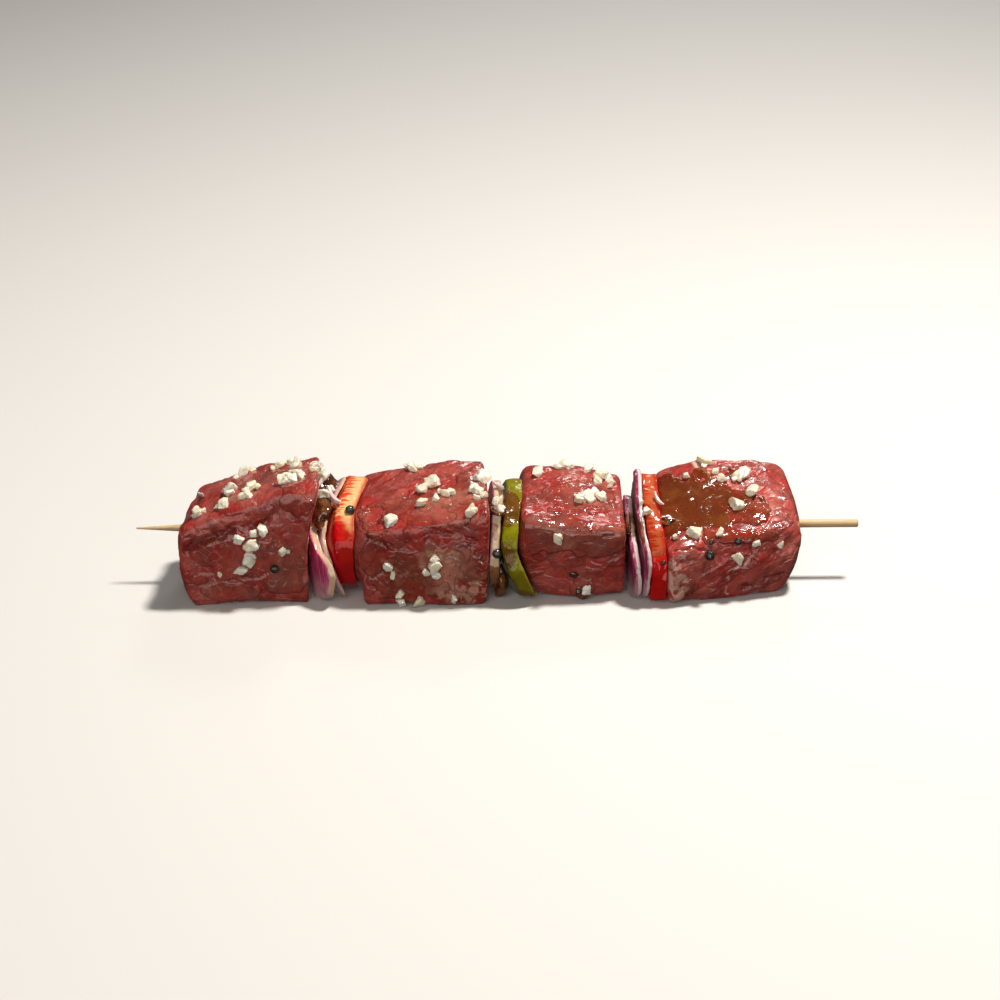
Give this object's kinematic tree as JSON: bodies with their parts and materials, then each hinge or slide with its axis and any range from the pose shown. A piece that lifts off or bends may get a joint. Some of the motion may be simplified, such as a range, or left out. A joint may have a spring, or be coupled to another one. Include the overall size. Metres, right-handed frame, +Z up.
{
  "type": "beef kebab skewer",
  "caption": "Raw beef cubes threaded on a pointed bamboo stick with squares of red onion and bell pepper between them, for grilling.",
  "frame": {"origin": "middle of the kebab's footprint, on the surface that it rests on", "axes": "+Z up, +X along the stick from its point to its blunt end, -Y towards the side shown"},
  "size_m": [0.254, 0.0484, 0.0422],
  "materials": {
    "bamboo": "dry pale bamboo with fine lengthwise fibres",
    "beef": "wet raw beef, fibrous, filmed with brown marinade",
    "onion": "wet red onion, purple outside and cream at the cut edges",
    "red_pepper": "glossy red bell pepper",
    "green_pepper": "glossy green bell pepper",
    "garlic": "moist chopped garlic, cream",
    "marinade": "clear brown marinade, wet and glossy",
    "peppercorn": "dark wrinkled peppercorns"
  },
  "bodies": {
    "root": {"skewer": "bamboo", "beef_1": "beef", "beef_2": "beef", "beef_3": "beef", "beef_4": "beef", "onion_1_outer": "onion", "onion_1_inner": "onion", "pepper_red_1": "red_pepper", "onion_2": "onion", "pepper_green": "green_pepper", "onion_3_outer": "onion", "onion_3_inner": "onion", "pepper_red_2": "red_pepper"}
  },
  "joints": []
}
